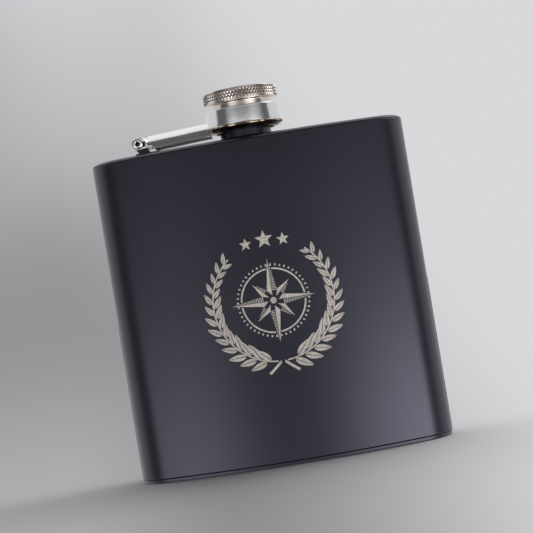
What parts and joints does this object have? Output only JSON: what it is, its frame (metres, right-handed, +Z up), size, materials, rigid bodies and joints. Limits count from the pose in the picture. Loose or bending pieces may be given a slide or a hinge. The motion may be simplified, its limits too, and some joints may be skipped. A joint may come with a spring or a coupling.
{
  "type": "hip flask",
  "caption": "Curved hip flask with a coated steel body, a threaded neck and a knurled screw cap held captive in a collar on a hinged arm.",
  "frame": {"origin": "centre of the flask's outline in plan, on the plane that it stands on", "axes": "+Z up along the neck; the convex front faces -Y; the hinge of the cap's arm is on the -X side"},
  "size_m": [0.0924, 0.0284, 0.1093],
  "materials": {
    "coating": "matte black powder coat on stainless steel",
    "polished_steel": "polished stainless steel",
    "warm_nickel": "turned and knurled steel with a warm nickel tone",
    "seal": "soft pale silicone",
    "engraving": "bare steel where the coating is engraved away"
  },
  "bodies": {
    "flask": {"body_shell": "coating", "shoulder_plate": "coating", "base_plate": "coating", "threaded_neck": "coating", "hinge_bracket": "coating"},
    "arm": {"hinge_pin": "polished_steel", "lid_arm": "polished_steel", "lid_collar": "polished_steel", "collar_brim": "warm_nickel"},
    "cap_slide": {"cap_retaining_ring": "polished_steel"},
    "cap": {"screw_cap": "warm_nickel", "cap_seal": "seal"}
  },
  "joints": [
    {"name": "arm_swing", "type": "hinge", "parent": "flask", "child": "arm", "pos_m": [-0.031, -0.00289, 0.0983], "axis": [0, -1, 0], "range_deg": [0, 170]},
    {"name": "cap_lift", "type": "slide", "parent": "arm", "child": "cap_slide", "axis": [0, 0, 1], "range_m": [0, 0.0024]},
    {"name": "cap_screw", "type": "hinge", "parent": "cap_slide", "child": "cap", "pos_m": [0.00045, -0.00289, 0.1], "axis": [0, 0, 1], "range_deg": [0, 576]}
  ],
  "couplings": [
    {"joint": "cap_lift", "follows": "cap_screw", "m_per_rad": 0.00023873}
  ]
}
